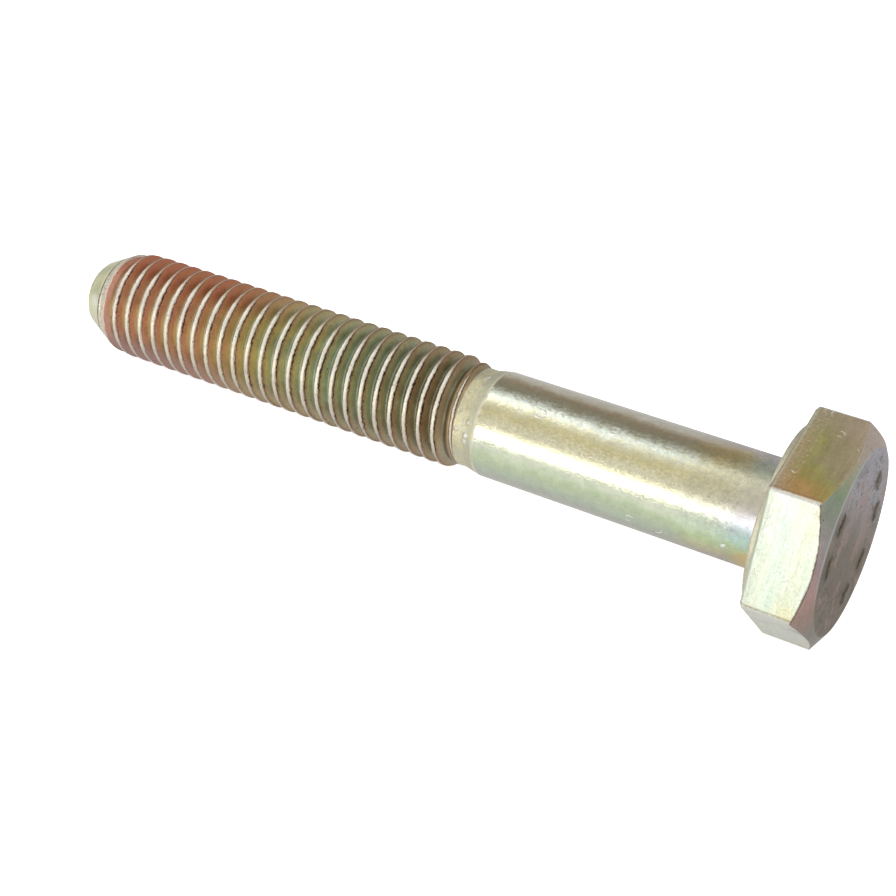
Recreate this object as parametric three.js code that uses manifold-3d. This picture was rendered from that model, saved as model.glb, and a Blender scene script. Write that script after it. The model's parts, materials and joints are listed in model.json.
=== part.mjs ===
// Hex bolt, M10 x 1.5, 70 mm long nominal, partly threaded, cold-forged and thread-rolled
// from one steel blank and zinc plated with a yellow chromate finish.
//
// Millimetres, +Z up. The bolt lies on its side along X: the origin is the centre of the
// head's flat top, the shank runs towards -X, and one wrench flat of the head faces up.
// "Reach" below is the distance from the bearing face, measured towards the tip.

import * as THREE from 'three';
import { mergeVertices } from 'three/addons/utils/BufferGeometryUtils.js';
import Module from 'manifold-3d';

// ---- Head ----
const ACROSS_FLATS = 17;
const HEAD_HEIGHT = 5.8;          // from the bearing face to the top, washer face included
const HEX_CORNER_RADIUS = 0.45;
const TOP_CIRCLE_RADIUS = 7.85;   // where the top's chamfer meets the flat top
const CHAMFER_ANGLE = THREE.MathUtils.degToRad(30);
const UNDERSIDE_CIRCLE_RADIUS = 8.9;
const WASHER_FACE_RADIUS = 8.05;
const WASHER_FACE_HEIGHT = 0.5;

// ---- Shank, shoulder and neck ----
const LENGTH = 68.8;              // from the bearing face to the tip
const SHANK_RADIUS = 4.68;
const FILLET_RADIUS = 0.6;        // under the head
const SHANK_END = 25.4;           // reach of the shank's full-diameter end
const SHOULDER_LENGTH = 2.1;
const NECK_RADIUS = 4.36;         // the rolling blank's radius, bare between shank and thread
const NECK_END = 27.95;           // reach at which the thread starts to rise

// ---- Thread, right-handed ----
const PITCH = 1.5;
const MAJOR_RADIUS = 4.92;
const ROOT_RADIUS = 4.06;
const CREST_FLAT = 0.3;
const FLANK_ANGLE = THREE.MathUtils.degToRad(30);
const RUNOUT_LENGTH = 1.7;        // over which the thread rises from the neck to full depth
const CREST_REACH_ON_TOP = 31.28; // reach of one crest where it passes the bolt's upper side

// ---- Tip ----
const TIP_RADIUS = 3;
const TIP_CONE_LENGTH = 3.45;
const TIP_CONE_RADIUS = 4.76;     // where the cone meets the thread

// ---- Smoothness ----
const SEGMENTS = 36;              // round the stem
const HEAD_SEGMENTS = 72;         // round the head's chamfers and washer face
const ARC_STEPS = 4;
const WELD = 1e-4;

const FLANK_WIDTH = (MAJOR_RADIUS - ROOT_RADIUS) * Math.tan(FLANK_ANGLE);
const STEM_START = -HEAD_HEIGHT / 2;  // the stem is rooted inside the head

const wasm = await Module();
wasm.setup();

// A closed THREE geometry as a manifold solid: only positions, welded, without slivers.
function solidFrom(geometry) {
  const bare = geometry.index ? geometry.toNonIndexed() : geometry.clone();
  bare.deleteAttribute('normal');
  bare.deleteAttribute('uv');
  const welded = mergeVertices(bare, WELD);
  const index = welded.index.array;
  const triangles = [];
  for (let i = 0; i < index.length; i += 3) {
    const [a, b, c] = [index[i], index[i + 1], index[i + 2]];
    if (a !== b && b !== c && c !== a) {
      triangles.push(a, b, c);
    }
  }
  return new wasm.Manifold(new wasm.Mesh({
    numProp: 3,
    vertProperties: new Float32Array(welded.getAttribute('position').array),
    triVerts: new Uint32Array(triangles),
  }));
}

function geometryFrom(solid) {
  const mesh = solid.getMesh();
  const geometry = new THREE.BufferGeometry();
  geometry.setAttribute('position', new THREE.BufferAttribute(mesh.vertProperties, 3));
  geometry.setIndex(new THREE.BufferAttribute(mesh.triVerts, 1));
  geometry.computeVertexNormals();
  return geometry;
}

// Turns a lathe or a tower that stands on Y so that its +Y points along the bolt, to -X,
// and puts its zero at the bearing face.
function layAlongBolt(geometry) {
  return geometry.rotateZ(Math.PI / 2).translate(-HEAD_HEIGHT, 0, 0);
}

// ---- Head ----

// A hexagon with rounded corners and a flat facing +Z once it is laid along the bolt.
function hexagon() {
  const shape = new THREE.Shape();
  const arcCentre = (ACROSS_FLATS / 2 - HEX_CORNER_RADIUS) / Math.cos(Math.PI / 6);
  for (let corner = 0; corner < 6; corner += 1) {
    const angle = corner * Math.PI / 3;
    shape.absarc(
      arcCentre * Math.cos(angle), arcCentre * Math.sin(angle), HEX_CORNER_RADIUS,
      angle - Math.PI / 6, angle + Math.PI / 6, false,
    );
  }
  return shape;
}

function hexPrism() {
  const geometry = new THREE.ExtrudeGeometry(hexagon(), {
    depth: HEAD_HEIGHT - WASHER_FACE_HEIGHT,
    bevelEnabled: false,
    curveSegments: ARC_STEPS,
  });
  geometry.rotateX(Math.PI / 2);
  return solidFrom(layAlongBolt(geometry.translate(0, -WASHER_FACE_HEIGHT, 0)));
}

// The double cone that trims the hexagon's corners, on the top and on the underside.
function cornerTrim() {
  const widest = ACROSS_FLATS;
  const slope = Math.tan(CHAMFER_ANGLE);
  const topDrop = (widest - TOP_CIRCLE_RADIUS) * slope;
  const undersideRise = (widest - UNDERSIDE_CIRCLE_RADIUS) * slope;
  return solidFrom(layAlongBolt(new THREE.LatheGeometry([
    new THREE.Vector2(0, -HEAD_HEIGHT),
    new THREE.Vector2(TOP_CIRCLE_RADIUS, -HEAD_HEIGHT),
    new THREE.Vector2(widest, -HEAD_HEIGHT + topDrop),
    new THREE.Vector2(widest, -WASHER_FACE_HEIGHT - undersideRise),
    new THREE.Vector2(UNDERSIDE_CIRCLE_RADIUS, -WASHER_FACE_HEIGHT),
    new THREE.Vector2(0, -WASHER_FACE_HEIGHT),
  ], HEAD_SEGMENTS)));
}

function washerFace() {
  return solidFrom(layAlongBolt(new THREE.LatheGeometry([
    new THREE.Vector2(0, -2 * WASHER_FACE_HEIGHT),
    new THREE.Vector2(WASHER_FACE_RADIUS, -2 * WASHER_FACE_HEIGHT),
    new THREE.Vector2(WASHER_FACE_RADIUS, 0),
    new THREE.Vector2(0, 0),
  ], HEAD_SEGMENTS)));
}

// ---- Stem: shank, neck, thread and tip, as one turned grid ----

// The plain rows of the stem, as [radius, reach], from inside the head to the neck's end.
function plainRows() {
  const rows = [[0, STEM_START], [SHANK_RADIUS + FILLET_RADIUS, STEM_START]];
  for (let step = 0; step <= ARC_STEPS; step += 1) {
    const angle = step / ARC_STEPS * Math.PI / 2;
    rows.push([
      SHANK_RADIUS + FILLET_RADIUS * (1 - Math.sin(angle)),
      FILLET_RADIUS * (1 - Math.cos(angle)),
    ]);
  }
  for (let step = 0; step <= ARC_STEPS; step += 1) {
    const along = step / ARC_STEPS;
    const eased = THREE.MathUtils.smoothstep(along, 0, 1);
    rows.push([
      THREE.MathUtils.lerp(SHANK_RADIUS, NECK_RADIUS, eased),
      SHANK_END + SHOULDER_LENGTH * along,
    ]);
  }
  rows.push([NECK_RADIUS, NECK_END]);
  return rows;
}

// The thread's four rows per turn, as reach at zero turn and height from 0, root, to 1, crest.
function threadRows() {
  const rows = [];
  const firstCrest = CREST_REACH_ON_TOP
    - Math.ceil((CREST_REACH_ON_TOP - NECK_END) / PITCH + 1) * PITCH;
  for (let crest = firstCrest; crest < LENGTH + PITCH; crest += PITCH) {
    rows.push(
      [crest - CREST_FLAT / 2 - FLANK_WIDTH, 0],
      [crest - CREST_FLAT / 2, 1],
      [crest + CREST_FLAT / 2, 1],
      [crest + CREST_FLAT / 2 + FLANK_WIDTH, 0],
    );
  }
  return rows;
}

// The stem's radius in the threaded stretch: full depth, a run-out at the neck, a cone at the tip.
function threadRadius(reach, height) {
  const depth = THREE.MathUtils.smoothstep(reach, NECK_END, NECK_END + RUNOUT_LENGTH);
  const root = THREE.MathUtils.lerp(NECK_RADIUS, ROOT_RADIUS, depth);
  const crest = THREE.MathUtils.lerp(NECK_RADIUS, MAJOR_RADIUS, depth);
  const coneSlope = (TIP_CONE_RADIUS - TIP_RADIUS) / TIP_CONE_LENGTH;
  const cone = TIP_RADIUS + (LENGTH - reach) * coneSlope;
  return Math.min(cone, THREE.MathUtils.lerp(root, crest, height));
}

// A lathe whose threaded rows climb one pitch per turn. Each climbing row ends a turn later
// on the start of the row one pitch on, and rows are held between the neck and the tip.
function stem() {
  const plain = plainRows();
  const threaded = threadRows();
  const rowCount = plain.length + threaded.length + 1;
  const profile = [];
  for (let row = 0; row < rowCount; row += 1) {
    profile.push(new THREE.Vector2(1, row));
  }
  const geometry = new THREE.LatheGeometry(profile, SEGMENTS);
  const position = geometry.getAttribute('position');
  for (let segment = 0; segment <= SEGMENTS; segment += 1) {
    const turn = segment / SEGMENTS;
    const angle = (segment % SEGMENTS) / SEGMENTS * 2 * Math.PI;
    for (let row = 0; row < rowCount; row += 1) {
      let radius = 0;
      let reach = LENGTH;
      if (row < plain.length) {
        [radius, reach] = plain[row];
      } else if (row < rowCount - 1) {
        const [start, height] = threaded[row - plain.length];
        reach = THREE.MathUtils.clamp(start + turn * PITCH, NECK_END, LENGTH);
        radius = threadRadius(reach, height);
      }
      position.setXYZ(
        segment * rowCount + row,
        radius * Math.sin(angle), reach, radius * Math.cos(angle),
      );
    }
  }
  return solidFrom(layAlongBolt(geometry));
}

// ---- The one piece ----

function hexBolt() {
  const head = hexPrism().intersect(cornerTrim());
  const mesh = new THREE.Mesh(
    geometryFrom(head.add(washerFace()).add(stem())),
    new THREE.MeshStandardMaterial({ color: 0xc2b06c, roughness: 0.35, metalness: 1 }),
  );
  mesh.name = 'hex_bolt';
  return mesh;
}

const bolt = new THREE.Group();
bolt.add(hexBolt());

export default bolt;
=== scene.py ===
"""A yellow-zinc hex bolt on a pale table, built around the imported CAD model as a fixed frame."""
import json
import math

import bmesh
import bpy
import numpy as np
from mathutils import Matrix, Vector


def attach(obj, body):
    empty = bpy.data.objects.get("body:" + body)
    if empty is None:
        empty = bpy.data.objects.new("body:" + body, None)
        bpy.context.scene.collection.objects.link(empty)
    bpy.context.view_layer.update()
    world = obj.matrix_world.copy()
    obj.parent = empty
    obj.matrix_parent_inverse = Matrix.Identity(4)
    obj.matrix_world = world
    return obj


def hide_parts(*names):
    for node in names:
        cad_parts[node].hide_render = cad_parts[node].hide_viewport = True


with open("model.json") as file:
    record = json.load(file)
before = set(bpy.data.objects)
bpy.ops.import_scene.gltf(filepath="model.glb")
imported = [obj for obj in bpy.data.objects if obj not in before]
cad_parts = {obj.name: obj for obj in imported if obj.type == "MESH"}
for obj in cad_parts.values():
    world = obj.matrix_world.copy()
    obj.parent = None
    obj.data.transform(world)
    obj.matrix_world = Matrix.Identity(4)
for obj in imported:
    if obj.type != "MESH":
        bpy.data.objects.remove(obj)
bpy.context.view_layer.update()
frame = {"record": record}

MM = 0.001

# ---- Places and sizes taken from the frame, in millimetres ----
MOUNTS = {mount["name"]: mount for mount in frame["record"]["mounts"]}
BEARING_X = MOUNTS["bearing_face"]["pos_m"][0] / MM
TIP_X = MOUNTS["tip_end"]["pos_m"][0] / MM
HALF_FLATS = MOUNTS["wrench_flat_up"]["pos_m"][2] / MM
LENGTH = BEARING_X - TIP_X
HEAD_HEIGHT = -BEARING_X

# ---- Head, in millimetres like all the sizes up to the table. The flat top is a circle, and its
# rows stand close together outside the middle, where the raised marks are ----
CORNER_RADIUS = 0.45
TOP_CIRCLE = 7.85
TOP_MIDDLE = TOP_CIRCLE - 3.2
TOP_SLOPE = math.tan(math.radians(30))
BEVEL_START = 0.67
BEVEL_DEPTH = 0.33
WASHER_HEIGHT = 0.45
WASHER_RADIUS = 8.03
WASHER_FOOT = WASHER_RADIUS + 0.08

# ---- Shank, shoulder and neck ("reach" is the distance from the bearing face) ----
SHANK_RADIUS = 4.68
FILLET_RADIUS = 0.6
SHANK_END = 25.8
SHOULDER_START = SHANK_END - 1.2
SHOULDER_LENGTH = 1.5
SHOULDER_ROUNDING = 1.2
NECK_ROUNDING = 0.7
NECK_RADIUS = 4.36
NECK_END = 27.95

# ---- Thread. Near the neck its crests lie a little nearer the tip than an even helix's ----
PITCH = 1.5
MAJOR_RADIUS = 4.92
ROOT_RADIUS = 4.06
CREST_FLAT = 0.30
CREST_ROUNDING = 0.07
ROOT_ROUNDING = 0.15
FLANK_ANGLE = math.radians(30)
RUNOUT = 1.7
CREST_ON_TOP = 31.28
LATE_SHIFT = 0.2
LATE_REACH = (33.5, 29.0)

# ---- The fine groove along the first crests ----
GROOVE_DEPTH = 0.06
GROOVE_WIDTH = 0.05
GROOVE_OFFSET = 0.08
GROOVE_FADE = (39, 46)

# ---- Tip ----
TIP_RADIUS = 3.0
TIP_ROUNDING = 0.35
CONE_LENGTH = 3.45
CONE_RADIUS = 4.76
CONE_START = LENGTH - CONE_LENGTH
FIRST_CREST_TAPER = 0.10
RING_REACH = 66.5
RING_DEPTH = 0.05
RING_WIDTH = 0.09

# ---- Plain raised dashes on the head's top, their length and places in degrees round the axis ----
MARK_RADIUS = 5.6
MARK_WIDTH = 1.15
MARK_HEIGHT = 0.13
MARK_LENGTH = 15
MARK_ANGLES = (33, 67, 175, 210, 253, 292)

# ---- How fine the mesh is. Extra columns stand these degrees beside the hexagon's corners ----
COLUMNS = 96
CORNER_COLUMNS = (0.5, 1.0, 1.45, 2.1)
ARC_STEPS = 4
SHOULDER_STEPS = 7
SHANK_ROWS = 10
WELD = 1e-7

# ---- Table, lamps and camera, in metres; the lens and the sensor in millimetres ----
TABLE_HALF = 3.0
AIM = Vector((-0.035, 0, 0))
CAMERA_PLACE = Vector((27.29, -91.04, 103.69)) * MM
CAMERA_FORWARD = Vector((-0.41394, 0.58380, -0.69849))
CAMERA_RIGHT = Vector((0.86009, 0.50196, -0.09032))
CAMERA_LENS = 70.4
CAMERA_SENSOR = 36


# ======================================================================
# Outlines
# ======================================================================

def rounded(points, radii, steps):
    """A polyline with each inner corner replaced by an arc of `steps` points."""
    out = [np.array(points[0], float)]
    for before, corner, after, radius in zip(points, points[1:], points[2:], radii):
        before, corner, after = (np.array(point, float) for point in (before, corner, after))
        towards, onward = before - corner, after - corner
        towards /= np.linalg.norm(towards)
        onward /= np.linalg.norm(onward)
        half = math.acos(np.clip(towards @ onward, -1, 1)) / 2
        middle = towards + onward
        centre = corner + middle / np.linalg.norm(middle) * radius / math.sin(half)
        start = corner + towards * radius / math.tan(half) - centre
        sweep = math.pi - 2 * half
        turn = np.sign(towards[0] * onward[1] - towards[1] * onward[0])
        for step in range(steps):
            angle = -turn * sweep * step / (steps - 1)
            spin = np.array([[math.cos(angle), -math.sin(angle)],
                             [math.sin(angle), math.cos(angle)]])
            out.append(centre + spin @ start)
    out.append(np.array(points[-1], float))
    return out


def divided(start, end, count):
    """The `count` points between start and end, both left out."""
    start, end = np.array(start, float), np.array(end, float)
    return [start + (end - start) * (step + 1) / (count + 1) for step in range(count)]


def spread(start, end, count):
    """`count` points between two bends, the outer ones close to the bends, so the flat stays flat."""
    start, end = np.array(start, float), np.array(end, float)
    margin = min(0.09 / np.linalg.norm(end - start), 0.2)
    shares = np.linspace(margin, 1 - margin, count) if count > 1 else [0.5] * count
    return [start + (end - start) * share for share in shares]


def eased(value, low, high):
    """0 below `low`, 1 above `high`, smooth between."""
    share = np.clip((value - low) / (high - low), 0, 1)
    return share * share * (3 - 2 * share)


def column_turns():
    """Where the mesh's columns stand round the axis, 0 to 1, closer at the hexagon's corners."""
    turns = set(np.round(np.arange(COLUMNS) / COLUMNS, 9))
    for corner in range(6):
        centre = (corner + 0.5) / 6
        for offset in CORNER_COLUMNS:
            turns.add(round(centre + offset / 360, 9))
            turns.add(round(centre - offset / 360, 9))
    return np.array(sorted(turns))


def hexagon_radius(turn):
    """Distance from the axis to the hexagon's side, with its corners rounded."""
    off_flat = (turn * 6 + 0.5) % 1 - 0.5
    angle = abs(off_flat) * math.pi / 3
    to_corner = math.pi / 6 - angle
    arc_centre = (HALF_FLATS - CORNER_RADIUS) / math.cos(math.pi / 6)
    if HALF_FLATS * math.tan(angle) <= (HALF_FLATS - CORNER_RADIUS) * math.tan(math.pi / 6):
        return HALF_FLATS / math.cos(angle)
    across = arc_centre * math.sin(to_corner)
    return arc_centre * math.cos(to_corner) + math.sqrt(CORNER_RADIUS ** 2 - across ** 2)


def head_profile(side):
    """One column of the head, as (reach, radius), from the top's centre to the fillet's end."""
    top = -HEAD_HEIGHT
    chamfer_end = top + (side - TOP_CIRCLE) * TOP_SLOPE
    # each bend: reach, radius, rounding and the number of rows up to the next bend
    bends = [
        (top, TOP_CIRCLE, 0.14, 3),
        (chamfer_end, side, 0.1, 4),
        (-BEVEL_START, side, 0.2, 1),
        (-WASHER_HEIGHT, side - BEVEL_DEPTH, 0.06, 1),
        (-WASHER_HEIGHT, WASHER_FOOT, 0.02, 1),
        (0, WASHER_RADIUS, 0.12, 2),
        (0, SHANK_RADIUS, FILLET_RADIUS, 0)]
    corners = [(reach, radius) for reach, radius, _, _ in bends]
    roundings = [rounding for _, _, rounding, _ in bends]
    outline = rounded([(top, TOP_MIDDLE), *corners, (FILLET_RADIUS + 0.5, SHANK_RADIUS)],
                      roundings, ARC_STEPS)
    arcs = [outline[1 + ARC_STEPS * bend:1 + ARC_STEPS * (bend + 1)] for bend in range(len(bends))]
    column = divided((top, 0), outline[0], 4) + outline[:1] + spread(outline[0], arcs[0][0], 14)
    for arc, following, bend in zip(arcs, arcs[1:], bends):
        column += arc + spread(arc[-1], following[0], bend[3])
    return column + arcs[-1] + outline[-1:]


def shank_profile():
    """(reach, radius) rows from the fillet's end to the thread."""
    reaches = np.linspace(FILLET_RADIUS + 1.6, SHOULDER_START - 0.2, SHANK_ROWS)
    shoulder = rounded(
        [(SHOULDER_START, SHANK_RADIUS), (SHANK_END, SHANK_RADIUS),
         (SHANK_END + SHOULDER_LENGTH, NECK_RADIUS), (NECK_END, NECK_RADIUS)],
        [SHOULDER_ROUNDING, NECK_ROUNDING], SHOULDER_STEPS)
    return [(reach, SHANK_RADIUS) for reach in reaches] + [tuple(point) for point in shoulder]


def thread_section():
    """One pitch of the thread, as (offset from the crest, radius), from root to root."""
    flank = (MAJOR_RADIUS - ROOT_RADIUS) * math.tan(FLANK_ANGLE)
    half_crest = CREST_FLAT / 2
    side = rounded(
        [(0, MAJOR_RADIUS), (half_crest, MAJOR_RADIUS), (half_crest + flank, ROOT_RADIUS),
         (PITCH / 2, ROOT_RADIUS)], [CREST_ROUNDING, ROOT_ROUNDING], ARC_STEPS)
    crest, root = side[:1 + ARC_STEPS], side[1 + ARC_STEPS:]
    side = crest + spread(crest[-1], root[0], 2) + root
    mirrored = [(-offset, radius) for offset, radius in side[:0:-1]]
    return mirrored + [tuple(point) for point in side[:-1]]


# ======================================================================
# Mesh
# ======================================================================

def helix_shift(reach):
    """How far the crests lie off an even helix at the run-out, positive towards the tip."""
    return LATE_SHIFT * (1 - eased(reach, LATE_REACH[1], LATE_REACH[0]))


def shifted(helix):
    """The real reach of points given by their reach on the even helix."""
    reach = helix
    for _ in range(20):
        reach = helix + helix_shift(reach)
    return reach


def tip_radius(reach):
    """The tip's cone, rounded over into the flat end."""
    left = LENGTH - reach
    cone = TIP_RADIUS + left * (CONE_RADIUS - TIP_RADIUS) / CONE_LENGTH
    rise = np.sqrt(np.clip(TIP_ROUNDING ** 2 - (TIP_ROUNDING - left) ** 2, 0, None))
    dome = TIP_RADIUS - TIP_ROUNDING + rise
    return np.where(left < TIP_ROUNDING, np.minimum(cone, dome), cone)


def thread_radius(reach, radius, offset):
    """The section's radius with the run-out at the neck, the grooved first crests and the tip."""
    depth = eased(reach, NECK_END, NECK_END + RUNOUT)
    groove = GROOVE_DEPTH * np.exp(-((offset - GROOVE_OFFSET) / GROOVE_WIDTH) ** 2)
    groove = groove * (1 - eased(reach, *GROOVE_FADE))
    radius = NECK_RADIUS + (radius - groove - NECK_RADIUS) * depth
    cone = tip_radius(reach)
    taper = CONE_RADIUS + (CONE_START - reach) * FIRST_CREST_TAPER
    threaded = np.minimum(np.minimum(cone, taper), radius)
    plain = eased(reach, RING_REACH - 0.6, RING_REACH - 0.2)
    ring = RING_DEPTH * np.exp(-((reach - RING_REACH) / RING_WIDTH) ** 2)
    return threaded * (1 - plain) + cone * plain - ring


def thread_rows(turns):
    """Reach and radius at each point of the thread's helical rows, and the rows in one pitch."""
    section = np.array(thread_section())
    first = CREST_ON_TOP - math.ceil((CREST_ON_TOP - NECK_END) / PITCH + 1) * PITCH
    crests = np.arange(first, LENGTH + PITCH, PITCH)
    offsets = np.tile(section[:, 0], len(crests))[:, None]
    radii = np.tile(section[:, 1], len(crests))[:, None]
    starts = np.repeat(crests, len(section))[:, None] + offsets
    reach = np.clip(shifted(starts + PITCH * turns), NECK_END, LENGTH)
    return reach, thread_radius(reach, radii, offsets), len(section)


def bolt_grid(turns):
    """Reach and radius at each point of the bolt, the first threaded row and the rows in a pitch."""
    heads = np.array([head_profile(hexagon_radius(turn)) for turn in turns]).transpose(1, 0, 2)
    shank = np.array(shank_profile())
    thread_reach, thread_radii, rows_in_pitch = thread_rows(turns)
    columns = len(turns)
    reach = np.vstack([heads[:, :, 0], np.repeat(shank[:, :1], columns, 1), thread_reach])
    radius = np.vstack([heads[:, :, 1], np.repeat(shank[:, 1:], columns, 1), thread_radii])
    return reach, radius, len(heads) + len(shank), rows_in_pitch


def grid_faces(rows, columns, thread_start, rows_in_pitch):
    """Quads of the grid. Past the last column, a threaded row goes on as the row one pitch along."""
    def carried_on(row):
        """The row that this row becomes past the last column."""
        return min(row + rows_in_pitch, rows - 1) if row >= thread_start else row

    faces = []
    for row in range(rows - 1):
        here, there = row * columns, (row + 1) * columns
        for column in range(columns - 1):
            faces.append((here + column, there + column, there + column + 1, here + column + 1))
        faces.append((here + columns - 1, there + columns - 1,
                      carried_on(row + 1) * columns, carried_on(row) * columns))
    return faces


def marks(turns, reach, radius):
    """Height of the plain raised dashes that stand on the head's top."""
    across = 1 - eased(abs(radius - MARK_RADIUS), MARK_WIDTH / 2 - 0.1, MARK_WIDTH / 2 + 0.1)
    on_top = reach < 0.01 - HEAD_HEIGHT
    along = 0
    for angle in MARK_ANGLES:
        off = abs((turns * -360 - angle + 180) % 360 - 180)[None, :]
        along = along + 1 - eased(off, MARK_LENGTH / 2 - 1, MARK_LENGTH / 2 + 2)
    return MARK_HEIGHT * across * along * on_top


def bolt_mesh():
    """The whole bolt as one grid of quads, closed by a fan at the head's top and one at the tip."""
    turns = column_turns()
    reach, radius, thread_start, rows_in_pitch = bolt_grid(turns)
    rows, columns = reach.shape
    angle = turns[None, :] * 2 * math.pi
    x = BEARING_X - reach + marks(turns, reach, radius)
    y = radius * np.sin(angle)
    z = radius * np.cos(angle)
    points = np.stack([x, y, z], axis=2).reshape(-1, 3)
    top_centre = len(points)
    tip_centre = top_centre + 1
    points = np.vstack([points, [[0, 0, 0], [TIP_X, 0, 0]]])
    faces = grid_faces(rows, columns, thread_start, rows_in_pitch)
    last = (rows - 1) * columns
    for column in range(columns):
        following = (column + 1) % columns
        faces.append((top_centre, column, following))
        faces.append((tip_centre, last + following, last + column))
    mesh = bpy.data.meshes.new("hex_bolt_surface")
    mesh.from_pydata([tuple(point) for point in points * MM], [], faces)
    mesh.update()
    return mesh


def clean(mesh):
    """Welds the rows that were held at the thread's ends and drops what has no area."""
    work = bmesh.new()
    work.from_mesh(mesh)
    bmesh.ops.remove_doubles(work, verts=work.verts, dist=WELD)
    bmesh.ops.dissolve_degenerate(work, dist=WELD, edges=work.edges)
    bmesh.ops.recalc_face_normals(work, faces=work.faces)
    work.to_mesh(mesh)
    work.free()


def make_bolt():
    """The bolt's one visible piece, smooth shaded."""
    mesh = bolt_mesh()
    clean(mesh)
    for polygon in mesh.polygons:
        polygon.use_smooth = True
    bolt = bpy.data.objects.new("hex_bolt_visual", mesh)
    bpy.context.collection.objects.link(bolt)
    return bolt


# ======================================================================
# Node building
# ======================================================================

def put(tree, kind, inputs=None, **settings):
    """Adds a node, sets its options and sets or links its inputs."""
    node = tree.nodes.new(kind)
    for name, value in settings.items():
        setattr(node, name, value)
    for name, value in (inputs or {}).items():
        if isinstance(value, Field):
            value = value.socket
        if isinstance(value, bpy.types.NodeSocket):
            tree.links.new(value, node.inputs[name])
        else:
            node.inputs[name].default_value = value
    return node


class Field:
    """A value that changes over the surface, so that node sums can be written as sums."""

    def __init__(self, tree, socket):
        self.tree = tree
        self.socket = socket

    def math(self, operation, *others):
        """One of Blender's number operations on this value and the others."""
        values = dict(enumerate((self.socket, *others)))
        node = put(self.tree, "ShaderNodeMath", values, operation=operation)
        return Field(self.tree, node.outputs[0])

    def vector(self, operation, *others):
        """One of Blender's vector operations; a distance gives a number."""
        values = dict(enumerate((self.socket, *others)))
        node = put(self.tree, "ShaderNodeVectorMath", values, operation=operation)
        return Field(self.tree, node.outputs["Value" if operation == "DISTANCE" else "Vector"])

    def __add__(self, other):
        return self.math("ADD", other)

    def __sub__(self, other):
        return self.math("SUBTRACT", other)

    def __mul__(self, other):
        return self.math("MULTIPLY", other)

    def __truediv__(self, other):
        return self.math("DIVIDE", other)

    __radd__ = __add__
    __rmul__ = __mul__

    def __rsub__(self, other):
        return self * -1 + other

    def eased(self, low, high):
        """0 below `low`, 1 above `high`, smooth between; the other way round if `low` is larger."""
        first, last = (low, high) if low < high else (high, low)
        node = put(self.tree, "ShaderNodeMapRange",
                   {"Value": self, "From Min": first, "From Max": last}, interpolation_type="SMOOTHSTEP")
        rising = Field(self.tree, node.outputs["Result"])
        return rising if low < high else 1 - rising

    def band(self, low, high, edge):
        """1 between `low` and `high`, easing to 0 over `edge` outside of them."""
        return self.eased(low - edge, low) * self.eased(high + edge, high)

    def around(self, size):
        """1 close to 0, easing to 0 at `size` on either side."""
        return self.math("ABSOLUTE").eased(size, size * 0.3)


def noise(place, scale, detail=2.0, roughness=0.5, stretch=(1, 1, 1), shift=0.0):
    """Cloudy noise round 0 with about `scale` lumps in a millimetre, stretched if asked."""
    moved = place.vector("MULTIPLY", stretch).vector("ADD", (shift, shift * 0.7, -shift))
    node = put(place.tree, "ShaderNodeTexNoise",
               {"Vector": moved, "Scale": scale, "Detail": detail, "Roughness": roughness})
    return Field(place.tree, node.outputs[0]) - 0.5


def cells(place, scale, stretch=(1, 1, 1), shift=0.0):
    """Distance to the nearest random point, and a random number for that point."""
    moved = place.vector("MULTIPLY", stretch).vector("ADD", (shift, -shift, shift * 0.6))
    node = put(place.tree, "ShaderNodeTexVoronoi", {"Vector": moved, "Scale": scale})
    chance = put(place.tree, "ShaderNodeSeparateColor", {0: node.outputs["Color"]})
    return Field(place.tree, node.outputs["Distance"]), Field(place.tree, chance.outputs[0])


def spots(place, scale, size, share, shift):
    """1 in round spots of radius `size` (in cells), on the given share of the cells."""
    distance, chance = cells(place, scale, shift=shift)
    return distance.eased(size, size * 0.4) * chance.eased(share, share - 0.01)


def scratches(place, scale, share, stretch, shift):
    """Short curved nicks: parts of rings round the random points of a few cells."""
    distance, chance = cells(place, scale, stretch, shift)
    torn = noise(place, scale * 3, 2, 0.6, shift=shift)
    ring = (distance + torn * 0.12).band(0.16, 0.19, 0.025)
    return ring * torn.eased(0.0, 0.05) * chance.eased(share, share - 0.01)


def ramp(field, stops):
    """A colour for each value of the field, from (value, (red, green, blue)) stops."""
    node = put(field.tree, "ShaderNodeValToRGB", {0: field})
    elements = node.color_ramp.elements
    while len(elements) < len(stops):
        elements.new(0.5)
    for element, (value, _) in zip(elements, stops):
        element.position = value
    for element, (_, colour) in zip(elements, stops):
        element.color = (*colour, 1)
    return node.outputs[0]


def by_angle(turn, stops):
    """A colour for each angle round the bolt, from (degrees, colour) stops between -180 and 180."""
    return ramp(turn + 0.5, [(degrees / 360 + 0.5, colour) for degrees, colour in stops])


def by_reach(reach, start, end, stops):
    """A colour for each reach, from (millimetres, colour) stops between start and end."""
    return ramp((reach - start) / (end - start),
                [((place - start) / (end - start), colour) for place, colour in stops])


def paint(colour, amount, over):
    """Lays a colour over another one where the amount is 1."""
    values = {0: amount}
    for place, layer in ((6, colour), (7, over)):
        values[place] = (*layer, 1) if isinstance(layer, tuple) else layer
    return put(amount.tree, "ShaderNodeMix", values, data_type="RGBA").outputs[2]


def shaded(colour, amount):
    """The colour, lighter where the amount is over 1 and darker where it is under."""
    return put(amount.tree, "ShaderNodeVectorMath", {0: colour, 3: amount}, operation="SCALE").outputs[0]


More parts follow.
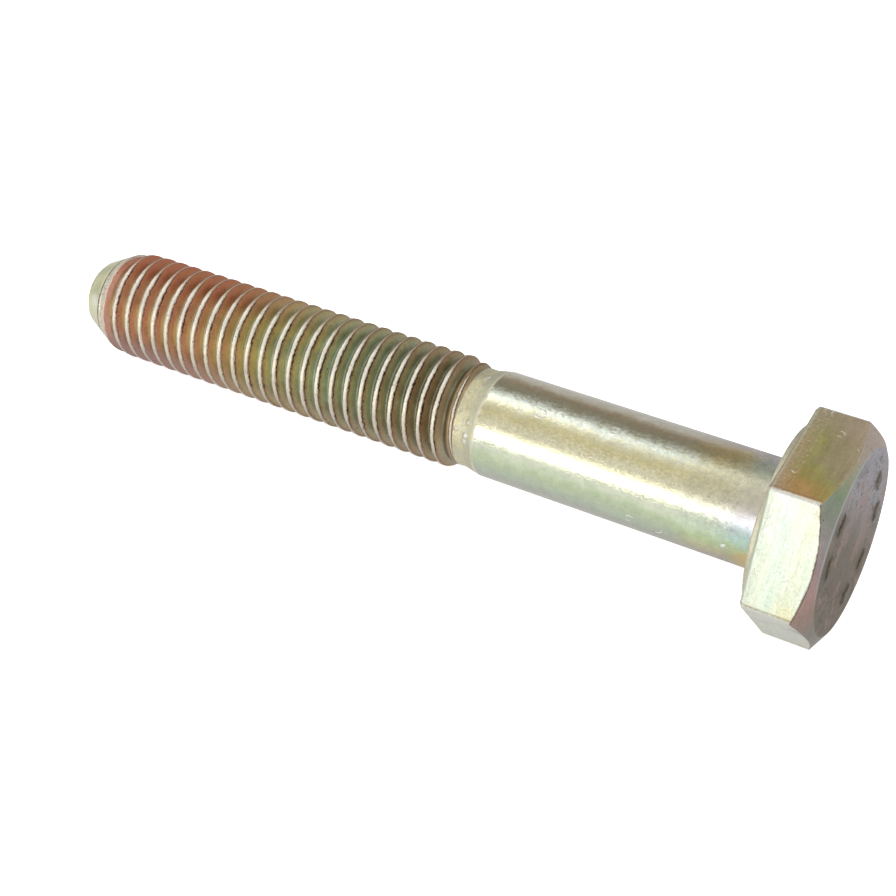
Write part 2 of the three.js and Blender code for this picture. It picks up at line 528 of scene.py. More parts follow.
class Bolt:
    """Where a point of the surface lies on the bolt, in millimetres and turns."""

    def __init__(self, tree):
        spot = put(tree, "ShaderNodeTexCoord")
        self.place = Field(tree, spot.outputs["Object"]).vector("MULTIPLY", (1 / MM, 1 / MM, 1 / MM))
        parts = put(tree, "ShaderNodeSeparateXYZ", {0: self.place})
        self.x, self.y, self.z = (Field(tree, socket) for socket in parts.outputs)
        self.reach = BEARING_X - self.x
        self.turn = (self.y * -1).math("ARCTAN2", self.z) / (2 * math.pi)

    def from_crest(self):
        """Millimetres from the nearest thread crest, positive towards the head."""
        helix = self.reach - LATE_SHIFT * self.reach.eased(*LATE_REACH)
        turns = (helix - CREST_ON_TOP) / PITCH + self.turn
        return (0.5 - (turns + 0.5).math("FRACT")) * PITCH

    def near(self, reach, angle, radius, size, wobble=None):
        """1 at a place on the surface, easing to 0 `size` millimetres away."""
        turn = math.radians(angle)
        centre = (BEARING_X - reach, -radius * math.sin(turn), radius * math.cos(turn))
        distance = self.place.vector("DISTANCE", centre)
        if wobble is not None:
            distance = distance + wobble
        return distance.eased(size, size * 0.15)


def new_material(name):
    """A material with nothing in its node tree yet."""
    material = bpy.data.materials.new(name)
    material.use_nodes = True
    material.node_tree.nodes.clear()
    return material


def finish_metal(material, colour, roughness, height):
    """A metal with the painted colour, roughness and relief (in millimetres)."""
    tree = material.node_tree
    bump = put(tree, "ShaderNodeBump", {"Height": height, "Distance": MM, "Strength": 1})
    shader = put(tree, "ShaderNodeBsdfPrincipled",
                 {"Metallic": 1, "Base Color": colour, "Roughness": roughness,
                  "Normal": bump.outputs[0]})
    put(tree, "ShaderNodeOutputMaterial", {"Surface": shader.outputs["BSDF"]})


# ======================================================================
# Materials: steel, zinc plated, under a yellow chromate film whose colour goes with its thickness
# ======================================================================

# Near-black brown: the dark line beside the crests, pits and specks.
DARK_BROWN = (0.09, 0.055, 0.04)
# Near white: nicks and drops in the film, and painted shine on the neck's dents.
NICK_AND_SHINE = (0.95, 0.94, 0.88)

# the narrow band of turns at each of the hexagon's corners where one flat's film meets the next
CORNERS = ((0.0830, 0.0836), (0.2497, 0.2503), (0.4163, 0.4170))


class Thread(Bolt):
    """The thread, with the uneven fields that its film, crests and relief share."""

    def __init__(self, tree):
        super().__init__(tree)
        self.across = self.from_crest()
        self.cloud = noise(self.place, 0.16, 3, shift=3)
        self.mottle = noise(self.place, 0.9, 3, 0.6, shift=11)
        self.fine = noise(self.place, 5, 3, 0.7)
        self.ragged = noise(self.place, 2.6, 4, 0.8, shift=5)
        self.patchy = noise(self.place, 0.7, 2, 0.6, shift=17)
        self.upper = self.turn.eased(0.050, -0.050)
        self.below = self.turn.eased(0.215, 0.30)
        self.lower = self.turn.eased(0.24, 0.32)
        self.before_cone = 1 - self.reach.eased(CONE_START - 0.5, CONE_START)


def thread_film(thread):
    """Brown by the neck, green, then copper by the tip, and paler down in the roots."""
    wander = thread.reach + thread.cloud * 18 + thread.mottle * 9 + thread.fine * 3
    flank = by_reach(wander, 28, 70, [
        (28, (0.48, 0.36, 0.21)), (32, (0.55, 0.42, 0.24)), (36, (0.56, 0.50, 0.28)),
        (41, (0.60, 0.58, 0.32)), (47, (0.73, 0.55, 0.26)), (53, (0.71, 0.42, 0.24)),
        (60, (0.73, 0.36, 0.23)), (66, (0.74, 0.36, 0.25)), (70, (0.66, 0.34, 0.29))])
    root = by_reach(wander, 28, 70, [
        (28, (0.46, 0.39, 0.25)), (32, (0.48, 0.50, 0.33)), (37, (0.50, 0.56, 0.39)),
        (43, (0.60, 0.69, 0.50)), (48, (0.76, 0.74, 0.40)), (54, (0.84, 0.62, 0.34)),
        (62, (0.86, 0.58, 0.40)), (70, (0.80, 0.56, 0.48))])
    down = (thread.across.math("ABSOLUTE") + thread.mottle * 0.3).eased(0.32, 0.62)
    return shaded(paint(flank, down, root), 1 + thread.fine * 0.55 + thread.mottle * 0.35)


def with_side_tints(thread, film):
    """Adds gilded roots, a greener flank towards the tip and the tints of the sides up and down, then
    painted shade: darker on the upper side, on the tip-facing flanks and deep in the roots.
    """
    gilded = thread.across.eased(0.45, 0.56) * thread.turn.band(0.145, 0.20, 0.05)
    gilded = gilded * thread.reach.eased(48, 56)
    film = paint(film, gilded * 0.65, (1.0, 0.90, 0.56))
    tip_side = (0 - thread.across).eased(0.20, 0.34) * thread.reach.eased(42, 52)
    film = paint(film, tip_side * 0.6, (0.62, 0.56, 0.30))
    film = paint(film, thread.below * 0.55, (0.38, 0.31, 0.24))
    film = paint(film, thread.below * thread.reach.eased(50, 62) * 0.5, (0.42, 0.27, 0.29))
    ruddy = thread.turn.eased(0.07, -0.03) * thread.reach.eased(46, 54)
    film = paint(film, ruddy * 0.5, (0.66, 0.18, 0.06))
    # Painted shade: the upper, far side of the thread a little darker.
    film = shaded(film, 1 - 0.14 * thread.turn.eased(0.06, -0.02))
    # Painted shade on the flanks that face the tip and deep in the roots.
    shadow = (0 - thread.across).eased(0.24, 0.46)
    root_shade = thread.across.eased(0.56, 0.66) * (0.2 + 0.16 * thread.reach.eased(61, 54))
    return shaded(film, 1 - 0.35 * shadow - root_shade)


def crest_edges(thread):
    """How far the worn part of a crest goes towards the tip and towards the head."""
    faint = thread.reach.eased(29.8, 28.9)
    tip_edge = (-0.125 + 0.04 * thread.upper + 0.06 * thread.lower + 0.08 * faint
                + thread.ragged * 0.22 + thread.patchy * 0.12)
    head_edge = (0.225 - 0.12 * thread.upper - 0.06 * thread.lower - 0.10 * faint
                 + thread.ragged * 0.28 + thread.fine * 0.10)
    return tip_edge, head_edge


def worn_zinc(thread):
    """Bare zinc on the crests: bright, with a painted highlight on the near side, browner above and
    below, torn.
    """
    uneven = 1 + thread.mottle * 0.6 + thread.fine * 0.5 + thread.patchy * 0.5
    worn = paint(shaded((0.93, 0.86, 0.70), uneven), thread.below, (0.66, 0.58, 0.52))
    worn = paint(worn, thread.turn.eased(0.305, 0.335), (0.86, 0.87, 0.88))
    # Painted highlight: the crests' near side painted brighter.
    near_side = thread.turn.band(0.03, 0.12, 0.03)
    worn = paint(worn, near_side * 0.7, (1.0, 0.96, 0.84))
    worn = paint(worn, thread.upper * 0.85, (0.62, 0.43, 0.30))
    worn = paint(worn, thread.turn.eased(0.13, 0.24) * 0.35, (0.66, 0.58, 0.46))
    return paint(worn, (thread.ragged + thread.fine).eased(0.10, 0.22) * 0.55, (0.55, 0.44, 0.34))


def dark_line(thread, head_edge):
    """Where the dark torn line runs on the head's side of a crest, and how strong it is there."""
    beside = (thread.across - head_edge).band(0.0, 0.04, 0.03) * thread.before_cone
    faded = thread.reach.eased(46, 54) * thread.turn.eased(0.12, 0.20)
    line = beside * (1 - 0.6 * thread.upper) * (1 - 0.6 * thread.lower) * (1 - 0.55 * faded)
    inked = thread.reach.eased(50, 44) * thread.turn.eased(0.20, 0.14)
    return line, 0.75 + 0.35 * inked + thread.patchy * 2.4 + thread.ragged * 1.2


def with_tip(thread, colour):
    """Adds the tip: a mottled start of the first crest, a dark ring and a pale cone."""
    start = shaded((0.97, 0.90, 0.74), 1 + thread.mottle * 0.6 + thread.fine * 0.5)
    start = paint(start, (thread.fine + thread.ragged).eased(0.04, 0.16) * 0.8, (0.52, 0.38, 0.34))
    cone = shaded((0.86, 0.86, 0.56), 1 + thread.cloud * 0.4 + thread.mottle * 0.2)
    cone = paint(cone, thread.turn.eased(0.17, 0.26), (0.80, 0.75, 0.52))
    cone = paint(cone, thread.near(67.2, 57, 3.8, 0.9, thread.mottle), (1.0, 1.0, 0.86))
    torn = thread.reach + thread.ragged * 0.25
    ring = torn.band(RING_REACH - 0.08, RING_REACH + 0.06, 0.06)
    colour = paint(colour, torn.eased(CONE_START + 0.10, CONE_START + 0.22) * 0.85, start)
    colour = paint(colour, torn.eased(RING_REACH - 0.05, RING_REACH + 0.05), cone)
    return paint(colour, ring * 0.85, (0.13, 0.11, 0.07))


def thread_plating():
    """Thick film on the flanks and in the roots, with painted shade on the tip-facing flanks and deep in
    the roots; worn bright on the crests with a painted highlight on their near side, dark lines beside
    them and a painted shade line on their tip side.
    """
    material = new_material("plating_on_thread")
    thread = Thread(material.node_tree)
    across = thread.across
    tip_edge, head_edge = crest_edges(thread)
    crest = (across - tip_edge).eased(-0.015, 0.02) * (head_edge - across).eased(-0.015, 0.02)
    line, strength = dark_line(thread, head_edge)
    # Painted shade: a thin dark line along the tip side of each crest, where the next flank hides the
    # root.
    tip_side_shade_line = (across - tip_edge).band(-0.07, -0.02, 0.03) * thread.before_cone
    rust = (across - head_edge).band(0.03, 0.11, 0.05) * thread.reach.eased(54, 46)
    specks = spots(thread.place, 1.6, 0.14, 0.28, shift=2)
    drop = thread.near(48.8, 74, MAJOR_RADIUS, 0.26)

    colour = with_side_tints(thread, thread_film(thread))
    colour = paint(colour, rust * 0.6, (0.42, 0.25, 0.14))
    colour = paint(colour, crest, worn_zinc(thread))
    colour = paint(colour, line * strength, DARK_BROWN)
    # paints the thin dark shade line on the crests' tip side
    colour = paint(colour, tip_side_shade_line * (0.6 + thread.fine * 1.5), (0.14, 0.09, 0.05))
    colour = paint(colour, specks * 0.8, DARK_BROWN)
    colour = paint(colour, drop, NICK_AND_SHINE)
    colour = with_tip(thread, colour)

    on_cone = thread.reach.eased(RING_REACH, RING_REACH + 0.1)
    roughness = 0.44 - 0.04 * crest - 0.20 * on_cone + thread.mottle * 0.15
    height = (thread.fine * 0.02 + thread.ragged * crest * 0.06 - specks * 0.02 - line * 0.03
              + drop * 0.10 + thread.mottle * 0.03) * (1 - 0.8 * on_cone)
    finish_metal(material, colour, roughness, height)
    return material


class Shank(Bolt):
    """The shank and neck, with the uneven fields that their film and relief share."""

    def __init__(self, tree):
        super().__init__(tree)
        drift = noise(self.place, 0.12, 3, 0.6, stretch=(0.5, 1, 1), shift=9)
        self.mottle = noise(self.place, 0.8, 4, 0.65, shift=4)
        self.grain = noise(self.place, 4.5, 4, 0.85, stretch=(0.7, 1, 1), shift=1)
        self.lumps = noise(self.place, 1.1, 4, 0.7, shift=20)
        self.veined = self.turn + drift * 0.05 + self.mottle * 0.05 + self.grain * 0.09


def shank_streaks_and_painted_reflections(shank):
    """Pale gold with long streaks of mint, teal and lilac, and by angle a painted reflection: darker
    where the dark part of the room is mirrored, paler where the lamps' lines fall.
    """
    # The stops are partly the film's own streaks and partly a painted reflection of the room and the
    # lamps.
    streaks = by_angle(shank.veined, [
        (-180, (0.72, 0.68, 0.50)), (-144, (0.82, 0.75, 0.46)), (-108, (0.72, 0.84, 0.66)),
        (-72, (0.84, 0.78, 0.50)), (-40, (0.95, 0.92, 0.80)), (-25, (0.84, 0.80, 0.66)),
        (-13, (0.60, 0.48, 0.31)), (-1, (0.55, 0.52, 0.36)), (12, (0.80, 0.85, 0.74)),
        (32, (0.80, 0.71, 0.38)), (44, (0.90, 0.85, 0.60)), (56, (0.86, 0.83, 0.56)),
        (70, (0.95, 1.0, 0.78)), (84, (0.66, 0.76, 0.50)), (100, (0.58, 0.66, 0.52)),
        (115, (0.54, 0.54, 0.48)), (144, (0.70, 0.66, 0.50))])
    return shaded(streaks, 1 + shank.lumps * 0.35 + shank.grain * 0.6)


def with_stains(shank, colour, close, closest):
    """Adds browner, then bluish stains where the shank comes close to the head."""
    stain = by_angle(shank.veined, [
        (-90, (0.55, 0.50, 0.36)), (-32, (0.70, 0.60, 0.58)), (-18, (0.66, 0.53, 0.26)),
        (-4, (0.70, 0.55, 0.22)), (12, (0.70, 0.65, 0.40)), (45, (0.72, 0.67, 0.50)),
        (60, (0.70, 0.72, 0.64)), (76, (0.74, 0.90, 0.66)), (88, (0.66, 0.80, 0.44)),
        (102, (0.68, 0.62, 0.36)), (120, (0.56, 0.46, 0.38))])
    fillet = by_angle(shank.veined, [
        (-90, (0.45, 0.40, 0.36)), (-34, (0.66, 0.58, 0.62)), (-16, (0.52, 0.58, 0.56)),
        (0, (0.58, 0.68, 0.56)), (14, (0.66, 0.64, 0.48)), (40, (0.66, 0.62, 0.52)),
        (58, (0.70, 0.68, 0.80)), (76, (0.56, 0.78, 0.72)), (92, (0.56, 0.68, 0.38)),
        (108, (0.56, 0.52, 0.38))])
    stain = shaded(stain, 1 + shank.lumps * 0.7 + shank.grain * 0.7)
    fillet = shaded(fillet, 1 + shank.lumps * 0.9 + shank.grain * 0.7)
    colour = paint(paint(colour, close * 0.7, stain), closest * 0.8, fillet)
    amber = (shank.reach + shank.lumps * 2).eased(2.9, 1.3) * shank.turn.band(0.27, 0.36, 0.04)
    return paint(colour, amber * 0.7, (0.84, 0.60, 0.26))


def satin_neck(shank, torn, dents):
    """The neck is the bare rolling blank: satin and dented, with a painted highlight along the
    shoulder's edge and painted shine on the dents.
    """
    satin = shaded((0.78, 0.72, 0.48), 1 + shank.lumps * 0.8 + shank.grain * 0.8)
    satin = paint(satin, shank.mottle.eased(0.0, 0.12) * 0.6, (0.70, 0.70, 0.56))
    slope = shank.reach.band(SHANK_END + 0.45, SHANK_END + 0.85, 0.3)
    satin = paint(satin, slope * 0.5, (0.56, 0.58, 0.44))
    # Painted highlight along the shoulder's edge.
    shoulder_edge_highlight = torn.band(SHANK_END + 0.06, SHANK_END + 0.20, 0.10)
    satin = paint(satin, shoulder_edge_highlight * (0.45 + shank.mottle * 2.0), (0.94, 0.92, 0.82))
    # Painted shine: the dents painted near white, standing in for their highlights.
    return paint(satin, (dents + shank.mottle * 1.5) * dents * 0.8, NICK_AND_SHINE)


def shank_plating():
    """A thin glossy film on the smooth shank, up to the satin neck."""
    material = new_material("plating_on_shank")
    shank = Shank(material.node_tree)
    close = (shank.reach + shank.mottle * 6).eased(9, 5)
    closest = (shank.reach + shank.mottle * 3).eased(4.5, 1.5)
    torn = shank.reach + shank.grain * 0.2 + shank.lumps * 0.25
    neck = torn.eased(SHANK_END - 0.04, SHANK_END + 0.10)
    pits = spots(shank.place, 1.5, 0.10, 0.30, shift=6)
    nicks = scratches(shank.place, 0.42, 0.35, (0.8, 1, 1), 31)
    dents = spots(shank.place, 0.9, 0.30, 0.5, shift=44)

    colour = with_stains(shank, shank_streaks_and_painted_reflections(shank), close, closest)
    colour = paint(colour, pits * 0.5, (0.25, 0.20, 0.12))
    colour = paint(colour, nicks, NICK_AND_SHINE)
    colour = paint(colour, neck, satin_neck(shank, torn, dents))

    roughness = 0.13 + 0.26 * neck + 0.06 * close + 0.12 * closest + shank.lumps * 0.15
    height = (shank.grain * (0.02 + 0.03 * neck) + shank.lumps * (0.024 + 0.03 * neck) + nicks * 0.04
              + dents * neck * 0.06 + shank.mottle * (0.02 + 0.08 * neck))
    finish_metal(material, colour, roughness, height)
    return material


class Head(Bolt):
    """The head, with the uneven fields that its flats and its top share."""

    def __init__(self, tree):
        super().__init__(tree)
        self.cloud = noise(self.place, 0.22, 3, 0.6, shift=13)
        self.lumps = noise(self.place, 0.9, 4, 0.7, shift=20)
        self.grain = noise(self.place, 4.0, 4, 0.8, shift=1)
        self.radius = (self.y * self.y + self.z * self.z).math("SQRT")


def upper_flat(head):
    """Brown-grey, olive, then orange-gold towards the near corner and the bearing side."""
    near_side = (head.y * -0.085 + (head.reach + 3) * 0.09
                 + head.cloud * 0.7 + head.lumps * 0.35 + 0.45)
    return ramp(near_side, [
        (0.05, (0.72, 0.58, 0.40)), (0.30, (0.62, 0.52, 0.31)), (0.50, (0.60, 0.55, 0.22)),
        (0.68, (0.68, 0.52, 0.18)), (0.84, (0.82, 0.52, 0.21)), (1.0, (0.68, 0.45, 0.20))])


def all_flats(head, past_corners):
    """Each flat's own film: olive above, cream, lavender and gold round to the far side."""
    layered = noise(head.place, 0.45, 2, 0.5, stretch=(1, 0.12, 0.12), shift=27)
    cream = ramp(head.cloud + head.lumps * 0.3 + layered * 1.6 + 0.5, [
        (0.15, (0.69, 0.80, 0.66)), (0.38, (0.76, 0.82, 0.66)), (0.60, (0.78, 0.80, 0.60)),
        (0.90, (0.86, 0.80, 0.46))])
    lavender = ramp(head.cloud * 1.4 + head.lumps + 0.5, [
        (0.2, (0.78, 0.80, 0.78)), (0.5, (0.85, 0.86, 0.72)), (0.8, (0.80, 0.74, 0.70))])
    gold = ramp(head.cloud * 1.6 + head.lumps + 0.5, [
        (0.2, (0.66, 0.62, 0.32)), (0.5, (0.80, 0.66, 0.30)), (0.8, (0.78, 0.56, 0.36))])
    colour = upper_flat(head)
    for past, film in zip(past_corners, (cream, lavender, gold)):
        colour = paint(colour, past, film)
    for (low, high), film in zip(CORNERS, (lavender, gold)):
        colour = paint(colour, head.turn.eased(-low, -high), film)
    return colour


def with_scuffs(head, colour, strip, second):
    """Adds the strip beside the bearing face, scuffed in forging, and two worn lines along it."""
    scuffed = paint(shaded((0.56, 0.46, 0.32), 1 + head.grain * 2.0), second, (0.80, 0.80, 0.68))
    flecks = (head.grain + head.lumps * 0.5).eased(0.10, 0.18)
    scuffed = paint(scuffed, flecks * 0.5, (0.78, 0.84, 0.84))
    colour = paint(colour, strip * (0.6 - 0.25 * second), scuffed)
    worn_edge = (head.reach + BEVEL_START + 0.08 + head.grain * 0.25).around(0.14) * (1 - second)
    scored = (head.reach + 1.85 + head.lumps * 0.5).around(0.09) * head.grain.eased(-0.02, 0.06)
    scored = scored * (1 - second)
    return paint(colour, (worn_edge + scored) * 0.42, (0.80, 0.84, 0.80))


def with_marks_of_use(head, colour):
    """Adds one thin dark nick on the bright flat and a grey smudge on the flat below it."""
    drawn = noise(head.place, 3.2, 3, 0.7, stretch=(0.12, 1, 1), shift=5)
    thin_nick = head.near(-4.95, 34, 9.3, 0.9, head.lumps * 0.5) * drawn.eased(0.02, 0.06)
    smudge = head.near(-4.9, 104, 8.9, 1.3, head.lumps * 1.5 + head.grain)
    colour = paint(colour, thin_nick * 0.5, (0.35, 0.26, 0.10))
    return paint(colour, smudge * 0.5, (0.40, 0.36, 0.31))


def flats_plating():
    """The six flats, each with its own film, the bevel and the bearing side."""
    material = new_material("plating_on_flats")
    head = Head(material.node_tree)
    lumps, grain = head.lumps, head.grain
    past_corners = [head.turn.eased(*corner) for corner in CORNERS]
    second = past_corners[0]
    combed = noise(head.place, 2.2, 3, 0.7, stretch=(1, 0.2, 0.2), shift=15)
    strip = (head.reach - 0.55 * second + lumps * 1.6 + grain * 1.2).eased(-2.1, -1.2)
    streaked = (1 + combed * 0.6 * (1 - second) + combed * 0.45 * second
                + grain * (0.45 - 0.25 * second))
    colour = with_scuffs(head, shaded(all_flats(head, past_corners), streaked), strip, second)

    # bright worn lips at the hexagon's corners, a dark torn line where the chamfer ends
    to_corner = ((head.turn * 6).math("FRACT") - 0.5) * 60 + grain * 1.6
    lip = to_corner.around(1.3)
    to_chamfer = head.reach + HEAD_HEIGHT - (head.radius - TOP_CIRCLE) * TOP_SLOPE
    torn = (to_chamfer + (lumps + grain) * 0.25).around(0.13)
    colour = paint(colour, lip * 0.8, (0.92, 0.90, 0.84))
    colour = paint(colour, to_corner.band(-1.7, -1.3, 0.4) * 0.5, (0.40, 0.27, 0.18))
    colour = paint(colour, torn * (0.35 + 0.5 * second), (0.22, 0.10, 0.07))

    nicks = scratches(head.place, 0.55, 0.30, (1, 1, 1), 8)
    colour = with_marks_of_use(head, paint(colour, nicks * 0.8, NICK_AND_SHINE))

    # the washer face and the underside, seen edge-on
    washer = head.reach.eased(-0.44, -0.40)
    colour = paint(colour, washer, shaded((0.68, 0.65, 0.49), 1 + lumps * 0.6 + grain * 0.4))

    roughness = 0.30 + 0.10 * strip + lumps * 0.16
    calm = 1 - 0.75 * second
    height = (grain * (0.02 * calm + 0.03 * strip) + lumps * 0.05 * calm + combed * 0.02 + nicks * 0.04
              - torn * 0.03 + lip * grain * 0.04)
    finish_metal(material, colour, roughness, height)
    return material


def chamfer_film(head):
    """Teal, lilac and copper round the chamfer."""
    return by_angle(head.turn + head.cloud * 0.06 + head.lumps * 0.03, [
        (-180, (0.36, 0.33, 0.27)), (-120, (0.55, 0.46, 0.36)), (-70, (0.72, 0.62, 0.52)),
        (-30, (0.80, 0.66, 0.56)), (-8, (0.72, 0.62, 0.50)), (8, (0.52, 0.53, 0.36)),
        (20, (0.40, 0.49, 0.33)), (32, (0.45, 0.49, 0.39)), (48, (0.60, 0.54, 0.52)),
        (62, (0.64, 0.49, 0.50)), (76, (0.64, 0.42, 0.38)), (90, (0.49, 0.35, 0.29)),
        (108, (0.34, 0.31, 0.26)), (180, (0.36, 0.33, 0.27))])


def top_film(head):
    """Grey-brown to lilac-grey on the flat top, darker towards its lower front side as painted shade,
    with copper and green patches and dark crust.
    """
    lumps, grain = head.lumps, head.grain
    # The gradient is partly the film's own tones and partly painted shade, darker towards the lower
    # front side.
    upward = (head.z + head.y) / 22 + 0.5 + head.cloud * 0.25 + lumps * 0.15
    top = ramp(upward, [
        (0.0, (0.19, 0.13, 0.07)), (0.35, (0.21, 0.15, 0.09)), (0.50, (0.27, 0.20, 0.135)),
        (0.62, (0.40, 0.335, 0.31)), (0.75, (0.56, 0.53, 0.56)), (1.0, (0.60, 0.58, 0.64))])
    hue = noise(head.place, 0.5, 3, 0.7, shift=33)
    top = paint(top, hue.eased(0.0, 0.12) * 0.55, (0.56, 0.34, 0.30))
    top = paint(top, (0 - hue).eased(0.02, 0.14) * 0.45, (0.19, 0.19, 0.14))
    grit = noise(head.place, 3.0, 4, 0.8, shift=12)
    crust = (grit + lumps * 0.7 - 0.06 * head.radius.eased(4.6, 3.6)).eased(0.06, 0.12)
    crust = crust * head.radius.eased(7.4, 6.9)
    top = paint(top, crust * 0.8, (0.025, 0.014, 0.006))
    return paint(top, (grain + lumps).eased(0.10, 0.26) * 0.6, (0.20, 0.15, 0.09))


def with_dashes(head, top):
    """Darkens the raised dashes and, more so, their edges."""
    raised = head.x.eased(0.02, MARK_HEIGHT * 0.8)
    beside = (head.x - MARK_HEIGHT * 0.45).around(MARK_HEIGHT * 0.42)
    speckled = shaded((0.17, 0.14, 0.065), 1 + head.grain * 5 + head.lumps * 3)
    return paint(paint(top, raised * 0.85, speckled), beside * 0.7, (0.10, 0.07, 0.045))


def top_plating():
    """The chamfer and the flat top, with a bright rim between them: a faint worn edge all round and a
    painted highlight on the lit side.
    """
    material = new_material("plating_on_top")
    head = Head(material.node_tree)
    lumps, grain = head.lumps, head.grain
    on_top = head.radius.eased(TOP_CIRCLE + 0.02, TOP_CIRCLE - 0.02)
    colour = paint(chamfer_film(head), on_top, with_dashes(head, top_film(head)))
    colour = shaded(colour, 1 + grain * 0.7 + lumps * 0.3)
    # The rim: a faint worn edge all round and, on the lit side, a painted highlight.
    rim = (head.radius - TOP_CIRCLE + 0.02 + grain * 0.08).around(0.15)
    lit = head.turn.eased(-0.10, 0.0) * head.turn.eased(0.26, 0.13)
    colour = paint(colour, rim * (0.06 + 0.74 * lit), (0.74, 0.84, 0.82))
    specks = spots(head.place, 1.4, 0.15, 0.45, shift=3)
    colour = paint(colour, specks * 0.7, DARK_BROWN)
    roughness = 0.34 + lumps * 0.2
    height = grain * 0.022 + lumps * 0.05 - specks * 0.03
    finish_metal(material, colour, roughness, height)
    return material


def plate(bolt):
    """Gives each face its material by where its middle is along the bolt, and which way it faces."""
    for material in (thread_plating(), shank_plating(), flats_plating(), top_plating()):
        bolt.data.materials.append(material)
    for polygon in bolt.data.polygons:
        reach = BEARING_X - polygon.center.x / MM
        if reach > NECK_END:
            polygon.material_index = 0
        elif reach > 0.02:
            polygon.material_index = 1
        else:
            polygon.material_index = 3 if polygon.normal.x > 0.5 else 2


# ======================================================================
# Table, light and camera
# ======================================================================

def table_material():
    """A white table. The camera sees it exposed to white; the bolt mirrors it a little darker, glowing,
    with a painted pool of light in front of the bolt.
    """
    material = new_material("pale_floor")
    tree = material.node_tree
    place = Field(tree, put(tree, "ShaderNodeNewGeometry").outputs["Position"])
    path = put(tree, "ShaderNodeLightPath")
    # Painted pool of light: the mirrored table glows brighter in front of the bolt.
    painted_light_pool = place.vector("DISTANCE", (-0.06, -0.06, 0)).eased(0.13, 0.05)
    glow = put(tree, "ShaderNodeEmission", {"Color": (1, 1, 1, 1), "Strength": 0.26 + 0.34 * painted_light_pool})
    dull = put(tree, "ShaderNodeBsdfDiffuse", {"Color": (0.16, 0.16, 0.16, 1)})
    mirrored = put(tree, "ShaderNodeAddShader", {0: glow.outputs[0], 1: dull.outputs[0]})
    white = put(tree, "ShaderNodeBsdfDiffuse", {"Color": (0.9, 0.9, 0.9, 1)})
    exposed = put(tree, "ShaderNodeEmission", {"Color": (1, 1, 1, 1), "Strength": 0.75})
    seen = put(tree, "ShaderNodeAddShader", {0: white.outputs[0], 1: exposed.outputs[0]})
    mixed = put(tree, "ShaderNodeMixShader",
                {0: path.outputs["Is Camera Ray"], 1: mirrored.outputs[0], 2: seen.outputs[0]})
    put(tree, "ShaderNodeOutputMaterial", {"Surface": mixed.outputs[0]})
    return material


def table_plane():
    """The table's normal and one point of it: the bolt lies on the head and its last full crest."""
    head = Vector((BEARING_X + BEVEL_START, 0, -HALF_FLATS))
    tip = Vector((BEARING_X - LENGTH + CONE_LENGTH, 0, -MAJOR_RADIUS))
    along = (head - tip).normalized()
    return Vector((-along.z, 0, along.x)), head * MM


def make_floor():
    """A large plain table under the bolt."""
    normal, contact = table_plane()
    mesh = bpy.data.meshes.new("floor")
    half = TABLE_HALF
    mesh.from_pydata([(-half, -half, 0), (half, -half, 0), (half, half, 0), (-half, half, 0)],
                     [], [(0, 1, 2, 3)])
    floor = bpy.data.objects.new("floor", mesh)
    bpy.context.collection.objects.link(floor)
    tilt = normal.to_track_quat("Z", "Y").to_matrix().to_4x4()
    floor.matrix_world = Matrix.Translation(contact) @ tilt
    floor.data.materials.append(table_material())


def softbox(name, direction, distance, along, across, radiance, glossy=True):
    """A rectangular lamp with the given surface radiance, `along` metres long beside the bolt."""
    lamp = bpy.data.lights.new(name, "AREA")
    lamp.shape = "RECTANGLE"
    lamp.size = along
    lamp.size_y = across
    lamp.energy = radiance * math.pi * along * across
    thing = bpy.data.objects.new(name, lamp)
    bpy.context.collection.objects.link(thing)
    back = Vector(direction).normalized()
    up = back.cross(Vector((1, 0, 0))).normalized()
    side = up.cross(back)
    place = AIM + back * distance
    thing.matrix_world = Matrix.Translation(place) @ Matrix((side, up, back)).transposed().to_4x4()
    thing.visible_camera = False
    thing.visible_glossy = glossy


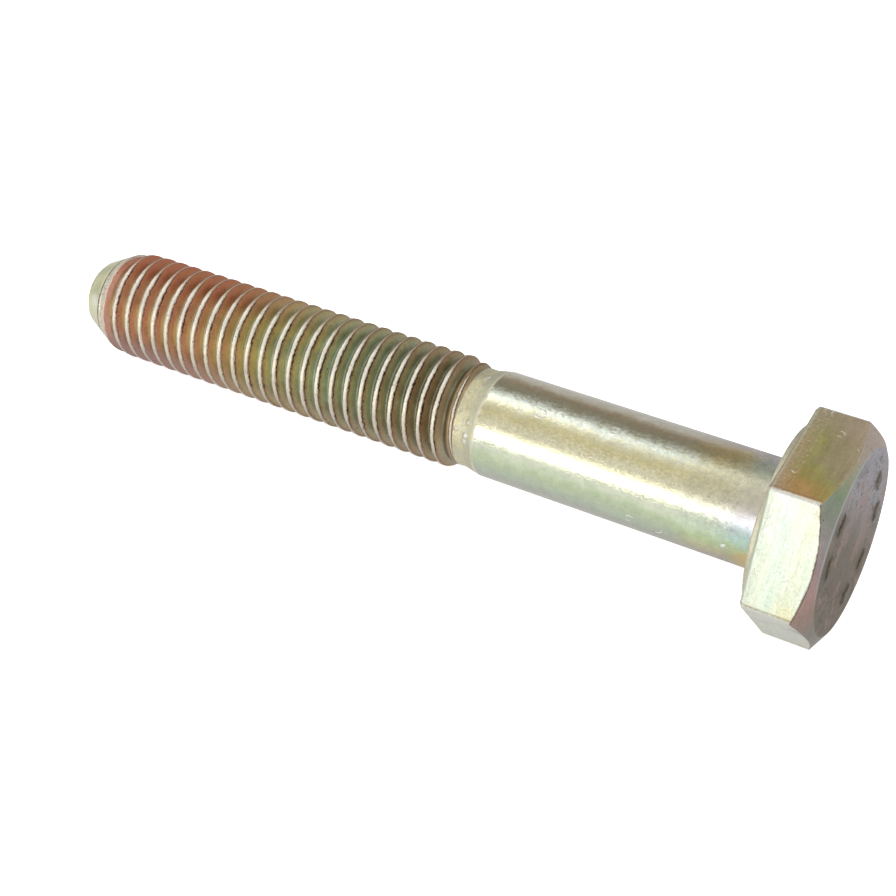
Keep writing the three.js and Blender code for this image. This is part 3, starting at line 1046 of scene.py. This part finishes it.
def make_lights():
    """Two long softboxes that draw the bright lines along the bolt, and a soft fill from above."""
    softbox("front_box", (-0.42, -0.87, 0.30), distance=0.6, along=0.42, across=0.150, radiance=2.6)
    softbox("top_box", (-0.55, 0.17, 0.85), distance=0.6, along=0.30, across=0.150, radiance=1.45)
    softbox("floor_fill", (0.1, -0.1, 1.2), distance=1.2, along=1.6, across=1.6, radiance=0.8,
            glossy=False)


def make_room():
    """What the bolt mirrors beside the lamps: a pale room, darker high up behind."""
    world = bpy.data.worlds.new("studio")
    bpy.context.scene.world = world
    world.use_nodes = True
    tree = world.node_tree
    tree.nodes.clear()
    direction = Field(tree, put(tree, "ShaderNodeTexCoord").outputs["Generated"])
    path = put(tree, "ShaderNodeLightPath")
    dark_place = Vector((-0.3, 0.77, 0.57)).normalized()
    dark = direction.vector("DISTANCE", tuple(dark_place)).eased(0.62, 0.22)
    room = put(tree, "ShaderNodeBackground", {"Color": (1, 1, 1, 1), "Strength": 0.68 - 0.32 * dark})
    seen = put(tree, "ShaderNodeBackground", {"Color": (1, 1, 1, 1), "Strength": 1})
    mixed = put(tree, "ShaderNodeMixShader",
                {0: path.outputs["Is Camera Ray"], 1: room.outputs[0], 2: seen.outputs[0]})
    put(tree, "ShaderNodeOutputWorld", {"Surface": mixed.outputs[0]})


def make_camera():
    """The camera that sees the bolt as the photo does."""
    data = bpy.data.cameras.new("camera")
    data.sensor_width = CAMERA_SENSOR
    data.lens = CAMERA_LENS
    data.clip_start = 0.005
    data.clip_end = 10
    camera = bpy.data.objects.new("camera", data)
    bpy.context.collection.objects.link(camera)
    forward = CAMERA_FORWARD.normalized()
    right = (CAMERA_RIGHT - forward * CAMERA_RIGHT.dot(forward)).normalized()
    up = right.cross(forward)
    turned = Matrix((right, up, -forward)).transposed().to_4x4()
    camera.matrix_world = Matrix.Translation(CAMERA_PLACE) @ turned
    bpy.context.scene.camera = camera


# ======================================================================
# Scene
# ======================================================================

make_camera()
bolt = make_bolt()
plate(bolt)
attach(bolt, "root")
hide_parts("hex_bolt")
make_floor()
make_lights()
make_room()
bpy.context.scene.view_settings.view_transform = "Standard"
